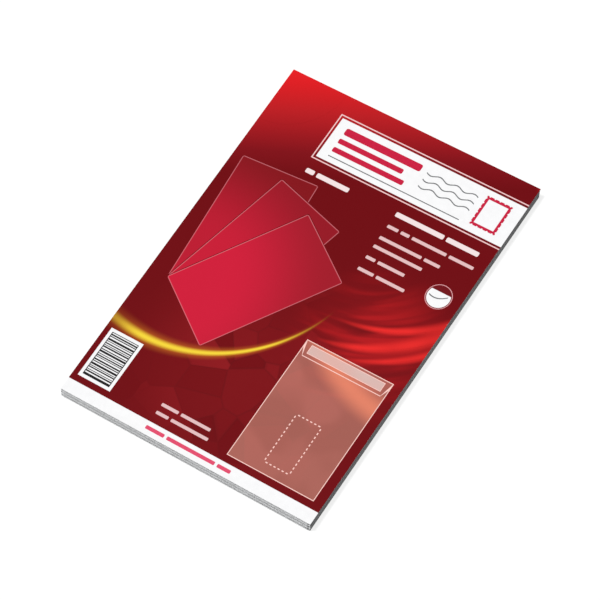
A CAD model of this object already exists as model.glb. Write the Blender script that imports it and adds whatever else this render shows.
import math

import bpy
from mathutils import Matrix, Vector


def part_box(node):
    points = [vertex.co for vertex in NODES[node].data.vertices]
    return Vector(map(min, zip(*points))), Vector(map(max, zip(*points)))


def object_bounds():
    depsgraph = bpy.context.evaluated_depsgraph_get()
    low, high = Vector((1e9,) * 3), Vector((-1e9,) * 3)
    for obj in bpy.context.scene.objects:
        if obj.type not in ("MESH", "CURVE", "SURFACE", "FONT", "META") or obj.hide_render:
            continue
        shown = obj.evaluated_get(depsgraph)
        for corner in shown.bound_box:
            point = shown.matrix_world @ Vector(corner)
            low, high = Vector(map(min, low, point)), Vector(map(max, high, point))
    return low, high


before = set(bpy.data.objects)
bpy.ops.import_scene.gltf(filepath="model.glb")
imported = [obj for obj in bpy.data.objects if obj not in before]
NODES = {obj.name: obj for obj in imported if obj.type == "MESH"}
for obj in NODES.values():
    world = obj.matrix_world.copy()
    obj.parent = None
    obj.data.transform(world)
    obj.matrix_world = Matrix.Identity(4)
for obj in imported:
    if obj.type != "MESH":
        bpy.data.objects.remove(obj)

cad_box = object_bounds()
MM = 0.001
COVER_LOW, COVER_HIGH = (Vector(corner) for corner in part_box("cover_sheet"))


def on_cover(left, top):
    """A place on the cover, in metres, from millimetres right of its left edge and below its upper edge."""
    return COVER_LOW.x + left * MM, COVER_HIGH.y - top * MM


def linear(code):
    """A six-digit colour code as linear red, green, blue and alpha."""
    parts = [int(code[i:i + 2], 16) / 255 for i in (0, 2, 4)]
    return tuple(c / 12.92 if c <= 0.04045 else ((c + 0.055) / 1.055) ** 2.4 for c in parts) + (1.0,)


# Small helpers for node trees

class Tree:
    """A node tree with short calls for the nodes that the materials use."""

    def __init__(self, tree):
        self.tree = tree

    def node(self, kind, **values):
        made = self.tree.nodes.new(kind)
        for name, value in values.items():
            setattr(made, name, value)
        return made

    def feed(self, socket, source):
        """Link a socket to an output, or set its own value."""
        if hasattr(source, "is_output"):
            self.tree.links.new(source, socket)
        else:
            socket.default_value = source

    def math(self, operation, a, b=0.0, clamp=False):
        made = self.node("ShaderNodeMath", operation=operation, use_clamp=clamp)
        self.feed(made.inputs[0], a)
        self.feed(made.inputs[1], b)
        return made.outputs[0]

    def product(self, first, *others):
        result = first
        for other in others:
            result = self.math("MULTIPLY", result, other)
        return result

    def gap(self, a, b):
        """How far two values are apart."""
        return self.math("ABSOLUTE", self.math("SUBTRACT", a, b))

    def ranged(self, value, low, high, to_low=0.0, to_high=1.0, smooth=False):
        made = self.node("ShaderNodeMapRange", interpolation_type="SMOOTHSTEP" if smooth else "LINEAR")
        for name, source in zip(("Value", "From Min", "From Max", "To Min", "To Max"),
                                (value, low, high, to_low, to_high)):
            self.feed(made.inputs[name], source)
        return made.outputs[0]

    def fade(self, value, start, end, full=1.0):
        """From the full share at the start softly down to none at the end."""
        return self.ranged(value, start, end, full, 0.0, smooth=True)

    def mix(self, share, a, b):
        made = self.node("ShaderNodeMix", data_type="RGBA")
        self.feed(made.inputs["Factor"], share)
        self.feed(made.inputs["A"], a)
        self.feed(made.inputs["B"], b)
        return made.outputs["Result"]

    def ramp(self, value, stops):
        made = self.node("ShaderNodeValToRGB")
        stretch = made.color_ramp
        while len(stretch.elements) < len(stops):
            stretch.elements.new(0.5)
        for element, (place, code) in zip(stretch.elements, stops):
            element.position = place
            element.color = linear(code)
        self.feed(made.inputs["Fac"], value)
        return made.outputs["Color"]

    def noise(self, where, scale, detail=2.0, roughness=0.5, distortion=0.0):
        made = self.node("ShaderNodeTexNoise")
        self.feed(made.inputs["Vector"], where)
        made.inputs["Scale"].default_value = scale
        made.inputs["Detail"].default_value = detail
        made.inputs["Roughness"].default_value = roughness
        made.inputs["Distortion"].default_value = distortion
        return made.outputs["Fac"]

    def place(self):
        """The place in the frame, in metres."""
        return self.node("ShaderNodeTexCoord").outputs["Object"]

    def split(self, vector):
        made = self.node("ShaderNodeSeparateXYZ")
        self.feed(made.inputs[0], vector)
        return made.outputs

    def join(self, x, y):
        made = self.node("ShaderNodeCombineXYZ")
        self.feed(made.inputs[0], x)
        self.feed(made.inputs[1], y)
        return made.outputs[0]

    def away(self, x, y, centre):
        """Distance in plan from a centre."""
        across = self.math("SUBTRACT", x, centre[0])
        along = self.math("SUBTRACT", y, centre[1])
        squared = self.math("ADD", self.product(across, across), self.product(along, along))
        return self.math("SQRT", squared)


def new_material(name):
    material = bpy.data.materials.new(name)
    material.use_nodes = True
    tree = Tree(material.node_tree)
    shader = material.node_tree.nodes["Principled BSDF"]
    return material, tree, shader


# Colour, gloss and relief that paper and print share

FIBRES = {"scale": 2600.0, "share": 0.25}
WAVES = {"scale": 28.0, "share": 2.0}
SHEEN_SCALE = 90.0
# Most of a noise lies between these two values
NOISE_SPAN = (0.3, 0.7)


def mottled(tree, dark, light, scale, detail, roughness=0.5):
    """A colour that wanders between two close ones."""
    cloud = tree.noise(tree.place(), scale, detail=detail, roughness=roughness)
    return tree.ramp(cloud, list(zip(NOISE_SPAN, (dark, light))))


def sheen_spots(tree, low, high):
    """Roughness that wanders a little, as a print's gloss does."""
    return tree.ranged(tree.noise(tree.place(), SHEEN_SCALE), *NOISE_SPAN, low, high)


def relief(tree, shader, form, strength, height):
    bump = tree.node("ShaderNodeBump")
    bump.inputs["Strength"].default_value = strength
    bump.inputs["Distance"].default_value = height
    tree.feed(bump.inputs["Height"], form)
    tree.feed(shader.inputs["Normal"], bump.outputs["Normal"])


def paper_fibres(tree, shader, height):
    """Bump of paper fibres, with the slow waves that a dry sheet has."""
    where = tree.place()
    fine = tree.noise(where, FIBRES["scale"], detail=3.0, roughness=0.65)
    broad = tree.noise(where, WAVES["scale"], detail=1.0)
    both = tree.math("ADD", tree.product(fine, FIBRES["share"]), tree.product(broad, WAVES["share"]))
    relief(tree, shader, both, strength=0.5, height=height)


# Paper, film and card

def envelope_paper():
    material, tree, shader = new_material("envelope_paper")
    white = mottled(tree, "ecedee", "f5f6f7", scale=420.0, detail=4.0, roughness=0.6)
    tree.feed(shader.inputs["Base Color"], white)
    tree.feed(shader.inputs["Roughness"], sheen_spots(tree, 0.78, 0.9))
    shader.inputs["Specular IOR Level"].default_value = 0.25
    paper_fibres(tree, shader, 0.03 * MM)
    return material


def release_paper():
    material, tree, shader = new_material("release_paper")
    tree.feed(shader.inputs["Base Color"], mottled(tree, "e4e0d2", "efece2", scale=300.0, detail=3.0))
    tree.feed(shader.inputs["Roughness"], sheen_spots(tree, 0.38, 0.5))
    paper_fibres(tree, shader, 0.015 * MM)
    return material


def window_film():
    material, tree, shader = new_material("window_film")
    tree.feed(shader.inputs["Base Color"], mottled(tree, "dfe6ea", "eef2f4", scale=35.0, detail=2.0))
    tree.feed(shader.inputs["Roughness"], sheen_spots(tree, 0.06, 0.14))
    shader.inputs["Alpha"].default_value = 0.22
    shader.inputs["Specular IOR Level"].default_value = 1.0
    ripples = tree.noise(tree.place(), scale=22.0, detail=1.0, distortion=0.6)
    relief(tree, shader, ripples, strength=0.4, height=0.2 * MM)
    return material


# Gloss and relief of the printed card
PRINT_ROUGHNESS = (0.42, 0.52)
PRINT_RELIEF = 0.012 * MM
CARD_SPECULAR = 0.2
INK_SPECULAR = 0.05

# Where bare card that shows through the red print looks faintly pink, in millimetres on the cover:
# left, top, width, height and colour, for the two headings, the small words and the drawn pocket's lines
PINK_AREAS = [
    (40, 48, 119, 6, "f3e1e1"),
    (99, 56, 60, 20, "e3bcbd"),
    (99, 76, 40, 16, "e3bcbd"),
    (52, 207, 37, 12, "e3bcbd"),
    (100, 138, 57, 80, "fdcec5"),
]
# The thin ring round the badge, likewise
PINK_RING = {"centre": (148.8, 83), "inner": 7.1, "outer": 8, "colour": "e9a6ab"}


def between(tree, value, low, high):
    """One where a value lies between two others, else zero."""
    return tree.product(tree.math("GREATER_THAN", value, low), tree.math("LESS_THAN", value, high))


def card_white():
    """Bare card, with a pink tint where fine lines of it show through the red ground."""
    material, tree, shader = new_material("card_white")
    card = mottled(tree, "f5f5f6", "fafafb", scale=260.0, detail=3.0)
    x, y, _ = tree.split(tree.place())
    for left, top, width, height, code in PINK_AREAS:
        low_x, high_y = on_cover(left, top)
        high_x, low_y = on_cover(left + width, top + height)
        inside = tree.product(between(tree, x, low_x, high_x), between(tree, y, low_y, high_y))
        card = tree.mix(inside, card, linear(code))
    off = tree.away(x, y, on_cover(*PINK_RING["centre"]))
    ring = between(tree, off, PINK_RING["inner"] * MM, PINK_RING["outer"] * MM)
    tree.feed(shader.inputs["Base Color"], tree.mix(ring, card, linear(PINK_RING["colour"])))
    tree.feed(shader.inputs["Roughness"], sheen_spots(tree, *PRINT_ROUGHNESS))
    shader.inputs["Specular IOR Level"].default_value = CARD_SPECULAR
    paper_fibres(tree, shader, PRINT_RELIEF)
    return material


# Flat inks

def print_finish(tree, shader):
    tree.feed(shader.inputs["Roughness"], sheen_spots(tree, *PRINT_ROUGHNESS))
    shader.inputs["Specular IOR Level"].default_value = INK_SPECULAR
    paper_fibres(tree, shader, PRINT_RELIEF)


def ink(name, dark, light):
    """A flat ink with the faint mottle of print."""
    material, tree, shader = new_material(name)
    flat = mottled(tree, dark, light, scale=700.0, detail=3.0, roughness=0.7)
    tree.feed(shader.inputs["Base Color"], flat)
    print_finish(tree, shader)
    return material


# The red ground, in millimetres on the cover: light that falls off from the upper left corner
CORNER_LIGHT = {
    "reach_right": 165,
    "reach_down": 75,
    "stops": [(0.0, "6d020a"), (0.22, "7f0a14"), (0.38, "9a121a"), (0.6, "ba1a20"),
              (0.85, "da1a20"), (1.0, "e81d23")],
}
# Faint many-sided shapes in a soft pool of light
SHAPES = {"scale": 48.0, "light": "981a20", "share": 0.75,
          "edge": 0.035, "line": "5a070d", "line_share": 0.35}
POOL = {"centre": (88, 172), "near": 8, "far": 86}
# Glow and stripes behind the red bands
GLOW = {"centre": (132, 125), "near": 6, "far": 52, "share": 0.5, "colour": "a8161c"}
STRIPES = {"scale": 150.0, "stretch": 0.16,
           "light": "c81c20", "light_range": (0.48, 0.66), "light_share": 1.1,
           "dark": "6a060d", "dark_range": (0.5, 0.34), "dark_share": 1.5}
# Bands and sweep are parts of circles through a start and a tip
RED_BANDS = [
    {"radius": 88, "start": (166, 98.6), "tip": (115, 134), "width": 5.6},
    {"radius": 88, "start": (166, 92.4), "tip": (119, 119), "width": 3.6},
    {"radius": 88, "start": (166, 112), "tip": (135, 135), "width": 3.0},
]
BAND_COLOUR = "ea2a28"
# A band comes up from before its tip to past it, and widens from there to the edge, with a soft rim
BAND_RISE = (-14, 12)
BAND_THIN = {"from_tip": -6, "width": 1.6}
BAND_RIM = 1.3
# Softly uneven strength of the bands
BAND_PATCHES = {"scale": 30.0, "distortion": 0.4, "least": 0.55}
GOLD_SWEEP = {"radius": 88, "start": (-4, 177.4), "tip": (105, 116.5)}
# The sweep shows only below this place, comes up from the left edge and fades out before its tip
GOLD_LIMIT = 108
GOLD_RISE = {"length": 22, "least": 0.35}
GOLD_FALL = 22
GOLD_TIP_WIDTH = 0.18
GOLD_HALO = {"width": 9.0, "share": 0.75, "colour": "c8641e"}
GOLD_CORE = {"width": 4.2, "share": 1.0, "colour": "f8d93c"}


def sweep_centre(sweep):
    """The centre of the circle through both ends of a sweep that sags between them."""
    start = Vector(on_cover(*sweep["start"]))
    tip = Vector(on_cover(*sweep["tip"]))
    half = (tip - start).length / 2
    along = (tip - start).normalized()
    upwards = Vector((-along.y, along.x)) if along.x > 0 else Vector((along.y, -along.x))
    return (start + tip) / 2 + upwards * math.sqrt((sweep["radius"] * MM) ** 2 - half ** 2)


def from_sweep(tree, x, y, sweep):
    """Distance from the middle line of a sweep."""
    return tree.gap(tree.away(x, y, sweep_centre(sweep)), sweep["radius"] * MM)


def corner_light(tree, x, y):
    right = tree.math("SUBTRACT", x, COVER_LOW.x)
    down = tree.math("SUBTRACT", COVER_HIGH.y, y)
    fall = tree.math("ADD", tree.math("DIVIDE", right, CORNER_LIGHT["reach_right"] * MM),
                     tree.math("DIVIDE", down, CORNER_LIGHT["reach_down"] * MM))
    return tree.ramp(tree.math("SUBTRACT", 1.0, fall, clamp=True), CORNER_LIGHT["stops"])


def add_shapes(tree, where, x, y, colour):
    cells = tree.node("ShaderNodeTexVoronoi", feature="F1")
    edges = tree.node("ShaderNodeTexVoronoi", feature="DISTANCE_TO_EDGE")
    for voronoi in (cells, edges):
        tree.feed(voronoi.inputs["Vector"], where)
        voronoi.inputs["Scale"].default_value = SHAPES["scale"]
    shade = tree.split(cells.outputs["Color"])[0]
    thin = tree.ranged(edges.outputs["Distance"], 0.0, SHAPES["edge"], 1.0, 0.0)
    pool = tree.fade(tree.away(x, y, on_cover(*POOL["centre"])), POOL["near"] * MM, POOL["far"] * MM)
    lit = tree.product(pool, tree.ranged(shade, 0.0, 1.0, 0.0, SHAPES["share"]))
    colour = tree.mix(lit, colour, linear(SHAPES["light"]))
    return tree.mix(tree.product(thin, pool, SHAPES["line_share"]), colour, linear(SHAPES["line"]))


def add_glow(tree, x, y, colour):
    """A broad glow, with faint stripes in it that follow the bands."""
    off = tree.away(x, y, on_cover(*GLOW["centre"]))
    behind = tree.fade(off, GLOW["near"] * MM, GLOW["far"] * MM, GLOW["share"])
    colour = tree.mix(behind, colour, linear(GLOW["colour"]))
    across_bands = tree.away(x, y, sweep_centre(RED_BANDS[0]))
    stretched = tree.join(across_bands, tree.product(x, STRIPES["stretch"]))
    stripes = tree.noise(stretched, STRIPES["scale"], detail=1.5, distortion=0.3)
    lit = tree.product(behind, tree.ranged(stripes, *STRIPES["light_range"], 0.0, STRIPES["light_share"]))
    dim = tree.product(behind, tree.ranged(stripes, *STRIPES["dark_range"], 0.0, STRIPES["dark_share"]))
    colour = tree.mix(lit, colour, linear(STRIPES["light"]))
    return tree.mix(dim, colour, linear(STRIPES["dark"]))


def add_red_bands(tree, where, x, y, colour):
    """Soft bands that widen from their tips to the right edge."""
    cloud = tree.noise(where, BAND_PATCHES["scale"], distortion=BAND_PATCHES["distortion"])
    patchy = tree.ranged(cloud, *NOISE_SPAN, BAND_PATCHES["least"], 1.0)
    for band in RED_BANDS:
        tip_x = on_cover(*band["tip"])[0]
        thin_x = tip_x + BAND_THIN["from_tip"] * MM
        broad = band["width"] * BAND_RIM * MM
        spread = tree.ranged(x, thin_x, COVER_HIGH.x, BAND_THIN["width"] * MM, broad)
        core = tree.fade(tree.math("DIVIDE", from_sweep(tree, x, y, band), spread), 0.0, 1.0)
        rise_start, rise_end = (tip_x + distance * MM for distance in BAND_RISE)
        rise = tree.ranged(x, rise_start, rise_end, smooth=True)
        colour = tree.mix(tree.product(core, rise, patchy), colour, linear(BAND_COLOUR))
    return colour


def add_gold_sweep(tree, x, y, colour):
    """A wide orange halo and a bright core, both thinner towards the tip."""
    tip_x = on_cover(*GOLD_SWEEP["tip"])[0]
    below = tree.math("LESS_THAN", y, on_cover(0, GOLD_LIMIT)[1])
    fall = tree.fade(x, tip_x - GOLD_FALL * MM, tip_x)
    rise_end = COVER_LOW.x + GOLD_RISE["length"] * MM
    rise = tree.ranged(x, COVER_LOW.x, rise_end, GOLD_RISE["least"], 1.0, smooth=True)
    strength = tree.product(fall, rise, below)
    off = from_sweep(tree, x, y, GOLD_SWEEP)
    taper = tree.ranged(x, COVER_LOW.x, tip_x, 1.0, GOLD_TIP_WIDTH)
    for layer in (GOLD_HALO, GOLD_CORE):
        body = tree.fade(tree.math("DIVIDE", off, tree.product(taper, layer["width"] * MM)), 0.0, 1.0)
        colour = tree.mix(tree.product(body, strength, layer["share"]), colour, linear(layer["colour"]))
    return colour


def ground_group():
    """A node group that gives the ground's colour at each place of the cover."""
    group = bpy.data.node_groups.new("ground_colour", "ShaderNodeTree")
    group.interface.new_socket("Color", in_out="OUTPUT", socket_type="NodeSocketColor")
    tree = Tree(group)
    where = tree.place()
    x, y, _ = tree.split(where)
    colour = corner_light(tree, x, y)
    colour = add_shapes(tree, where, x, y, colour)
    colour = add_glow(tree, x, y, colour)
    colour = add_red_bands(tree, where, x, y, colour)
    colour = add_gold_sweep(tree, x, y, colour)
    tree.feed(tree.node("NodeGroupOutput").inputs[0], colour)
    return group


GROUND = ground_group()


def ground_colour(tree):
    return tree.node("ShaderNodeGroup", node_tree=GROUND).outputs[0]


def print_ground():
    material, tree, shader = new_material("print_ground")
    tree.feed(shader.inputs["Base Color"], ground_colour(tree))
    print_finish(tree, shader)
    return material


# A broad arc of warm light over the drawn pocket, and where it comes up from left to right, in millimetres
WARM_LIGHT = {"centre": (170, 60), "radius": 98, "spread": 12, "colour": "f88f6e",
              "from": 102, "to": 126, "least": 0.5}
# Soft darker patches, which a strong tint covers
PATCHES = {"scale": 36.0, "range": (0.46, 0.6), "colour": "8f4f45"}


def tinted_ground(name, tint, share, warmth):
    """The ground seen through a pale tint, with a warm light across its upper end."""
    material, tree, shader = new_material(name)
    x, y, _ = tree.split(tree.place())
    colour = tree.mix(share, ground_colour(tree), linear(tint))
    cloud = tree.noise(tree.place(), PATCHES["scale"], detail=1.0)
    patchy = tree.ranged(cloud, *PATCHES["range"], 0.0, (1 - share) ** 2, smooth=True)
    colour = tree.mix(patchy, colour, linear(PATCHES["colour"]))
    off = tree.gap(tree.away(x, y, on_cover(*WARM_LIGHT["centre"])), WARM_LIGHT["radius"] * MM)
    warm = tree.fade(off, 0.0, WARM_LIGHT["spread"] * MM, warmth)
    from_x, to_x = (on_cover(WARM_LIGHT[end], 0)[0] for end in ("from", "to"))
    right = tree.ranged(x, from_x, to_x, WARM_LIGHT["least"], 1.0, smooth=True)
    lit = tree.mix(tree.product(warm, right), colour, linear(WARM_LIGHT["colour"]))
    tree.feed(shader.inputs["Base Color"], lit)
    print_finish(tree, shader)
    return material


# Three fanned sheets round one corner, in millimetres on the cover and degrees
FAN = {"left": 12, "top": 144, "width": 48, "height": 84, "first_tilt": -4, "tilt_step": 19}
FAN_SHADE = (34, 92)
# Colours near the shared corner and far from it, from the lowest sheet to the top one
FAN_COLOURS = [("bb1830", "821018"), ("c71a35", "931422"), ("cf1b39", "a01828")]
FAN_LINE = {"full": 0.25, "none": 0.6, "share": 0.55, "colour": "e88a94"}


def fan_sheet(index, near, far):
    """A crimson sheet that darkens towards its far end, with a thin pale line along its edges."""
    material, tree, shader = new_material(f"fan_sheet_{index + 1}")
    x, y, _ = tree.split(tree.place())
    pivot = on_cover(FAN["left"], FAN["top"])
    shade_start, shade_end = (distance * MM for distance in FAN_SHADE)
    share = tree.ranged(tree.away(x, y, pivot), shade_start, shade_end, smooth=True)
    colour = tree.mix(share, linear(near), linear(far))
    tilt = math.radians(FAN["first_tilt"] + FAN["tilt_step"] * index)
    turned = tree.node("ShaderNodeMapping", vector_type="TEXTURE")
    tree.feed(turned.inputs["Vector"], tree.place())
    turned.inputs["Location"].default_value = (pivot[0], pivot[1], 0)
    turned.inputs["Rotation"].default_value = (0, 0, -tilt)
    across, along, _ = tree.split(turned.outputs[0])
    side = tree.math("MINIMUM", across, tree.math("SUBTRACT", FAN["width"] * MM, across))
    end = tree.math("MINIMUM", along, tree.math("SUBTRACT", FAN["height"] * MM, along))
    edge = tree.math("MINIMUM", side, end)
    line = tree.ranged(edge, FAN_LINE["full"] * MM, FAN_LINE["none"] * MM, FAN_LINE["share"], 0.0)
    tree.feed(shader.inputs["Base Color"], tree.mix(line, colour, linear(FAN_LINE["colour"])))
    print_finish(tree, shader)
    return material


# Which piece has which material

def dress(names, material):
    for name in names:
        slots = NODES[name].material_slots
        if slots:
            slots[0].material = material
        else:
            NODES[name].data.materials.append(material)


def named(start):
    return [name for name in NODES if name.startswith(start)]


dress(named("envelope_"), envelope_paper())
dress(named("window_pane_"), window_film())
dress(named("release_strip_"), release_paper())
dress(["cover_sheet"], card_white())
dress(["cover_print_ground", "cover_print_corner_glow", "cover_print_gold_sweep"]
      + named("cover_print_red_band_"), print_ground())
for index, (near, far) in enumerate(FAN_COLOURS):
    dress([f"cover_print_fan_sheet_{index + 1}"], fan_sheet(index, near, far))
dress(["cover_print_label_frame"], ink("ink_frame", "f3c3c4", "f9d2d2"))
dress(named("cover_print_address_bar_") + ["cover_print_stamp"], ink("ink_crimson", "c41a3c", "ce2446"))
dress(named("cover_print_postmark_wave_") + ["cover_print_label_rule", "cover_print_badge_peel"],
      ink("ink_grey", "6f7072", "7b7c7e"))
dress(["cover_print_badge_ring"], ink("ink_dark_red", "6a0c14", "74121a"))
dress(["cover_print_barcode"], ink("ink_black", "1b1a1b", "262526"))
dress(named("cover_print_footer_bar_"), ink("ink_footer_red", "e0496a", "e65474"))
dress(["cover_print_drawn_back", "cover_print_drawn_flap"],
      tinted_ground("print_drawn_pocket", "dc9283", share=0.45, warmth=0.68))
dress(["cover_print_drawn_strip"],
      tinted_ground("print_drawn_strip", "f2d6ce", share=0.75, warmth=0.15))


# Floor, world and sun

FLOOR_SIZE = 6.0
FLOOR_DROP = 0.2 * MM
# What the floor throws back onto the part, and what the camera sees of it: shaded share and own glow
FLOOR_BOUNCE = 0.08
FLOOR_SHADED = 0.22
FLOOR_GLOW = 0.82
SKY = 0.16
SUN = Vector((-0.20, -0.08, 1.0))
SUN_SHARE = 0.85
SUN_SOFTNESS = 12


def grey(level):
    return level, level, level, 1


def seen_rays(tree):
    """One for what the camera sees, straight, in gloss or through film, else zero."""
    path = tree.node("ShaderNodeLightPath")
    bent = tree.math("MAXIMUM", path.outputs["Is Glossy Ray"], path.outputs["Is Transmission Ray"])
    return tree.math("MAXIMUM", path.outputs["Is Camera Ray"], bent)


def seen_or_else(tree, seen, plain):
    """One shader for what the camera sees, and a plain one for all other light."""
    mixed = tree.node("ShaderNodeMixShader")
    tree.feed(mixed.inputs[0], seen_rays(tree))
    tree.feed(mixed.inputs[1], plain.outputs[0])
    tree.feed(mixed.inputs[2], seen.outputs[0])
    return mixed.outputs[0]


def stage_floor():
    mesh = bpy.data.meshes.new("floor")
    half = FLOOR_SIZE / 2
    corners = [(-half, -half, 0), (half, -half, 0), (half, half, 0), (-half, half, 0)]
    mesh.from_pydata(corners, [], [(0, 1, 2, 3)])
    floor = bpy.data.objects.new("floor", mesh)
    floor.location.z = cad_box[0][2] - FLOOR_DROP
    bpy.context.scene.collection.objects.link(floor)
    material, tree, shader = new_material("floor")
    mesh.materials.append(material)
    shader.inputs["Base Color"].default_value = grey(FLOOR_BOUNCE)
    shader.inputs["Roughness"].default_value = 0.9
    shader.inputs["Specular IOR Level"].default_value = 0.0
    shaded = tree.node("ShaderNodeBsdfDiffuse")
    shaded.inputs["Color"].default_value = grey(FLOOR_SHADED)
    glow = tree.node("ShaderNodeEmission")
    glow.inputs["Strength"].default_value = FLOOR_GLOW
    white = tree.node("ShaderNodeAddShader")
    tree.feed(white.inputs[0], shaded.outputs[0])
    tree.feed(white.inputs[1], glow.outputs[0])
    output = material.node_tree.nodes["Material Output"]
    tree.feed(output.inputs["Surface"], seen_or_else(tree, white, shader))


def stage_world():
    world = bpy.data.worlds.new("studio")
    bpy.context.scene.world = world
    world.use_nodes = True
    tree = Tree(world.node_tree)
    plain = world.node_tree.nodes["Background"]
    plain.inputs["Color"].default_value = grey(1)
    plain.inputs["Strength"].default_value = SKY
    white = tree.node("ShaderNodeBackground")
    white.inputs["Color"].default_value = grey(1)
    output = world.node_tree.nodes["World Output"]
    tree.feed(output.inputs["Surface"], seen_or_else(tree, white, plain))


def key_light():
    """A soft sun."""
    lamp = bpy.data.lights.new("key", "SUN")
    lamp.energy = SUN_SHARE * math.pi * SUN.length
    lamp.angle = math.radians(SUN_SOFTNESS)
    key = bpy.data.objects.new("key", lamp)
    key.rotation_euler = SUN.to_track_quat("Z", "Y").to_euler()
    bpy.context.scene.collection.objects.link(key)


stage_floor()
stage_world()
key_light()


# Camera, fitted to the seven corners that the photograph shows: angles in degrees, lengths in metres
PHOTO_SIDE = 600
FOCAL_PIXELS = 3283.8
AZIMUTH = 48.31
ELEVATION = 60.26
ROLL = -16.96
DISTANCE = 1.7755
OFFSET_RIGHT = 0.00199
OFFSET_DOWN = -0.00282
SENSOR = 36.0
CLIP_START = 0.01


def add_camera():
    azimuth, elevation, roll = (math.radians(a) for a in (AZIMUTH, ELEVATION, ROLL))
    back = Vector((math.sin(azimuth) * math.cos(elevation), -math.cos(azimuth) * math.cos(elevation),
                   math.sin(elevation)))
    level = Vector((math.cos(azimuth), math.sin(azimuth), 0))
    rise = back.cross(level)
    right = level * math.cos(roll) + rise * math.sin(roll)
    up = rise * math.cos(roll) - level * math.sin(roll)
    data = bpy.data.cameras.new("camera")
    data.sensor_width = SENSOR
    data.lens = FOCAL_PIXELS / PHOTO_SIDE * SENSOR
    data.clip_start = CLIP_START
    camera = bpy.data.objects.new("camera", data)
    under_cover = Vector(((COVER_LOW.x + COVER_HIGH.x) / 2, (COVER_LOW.y + COVER_HIGH.y) / 2, 0))
    place = under_cover + back * DISTANCE - right * OFFSET_RIGHT + up * OFFSET_DOWN
    camera.matrix_world = Matrix((
        (right.x, up.x, back.x, place.x),
        (right.y, up.y, back.y, place.y),
        (right.z, up.z, back.z, place.z),
        (0, 0, 0, 1),
    ))
    bpy.context.scene.collection.objects.link(camera)
    bpy.context.scene.camera = camera


add_camera()
bpy.context.scene.view_settings.view_transform = "Standard"
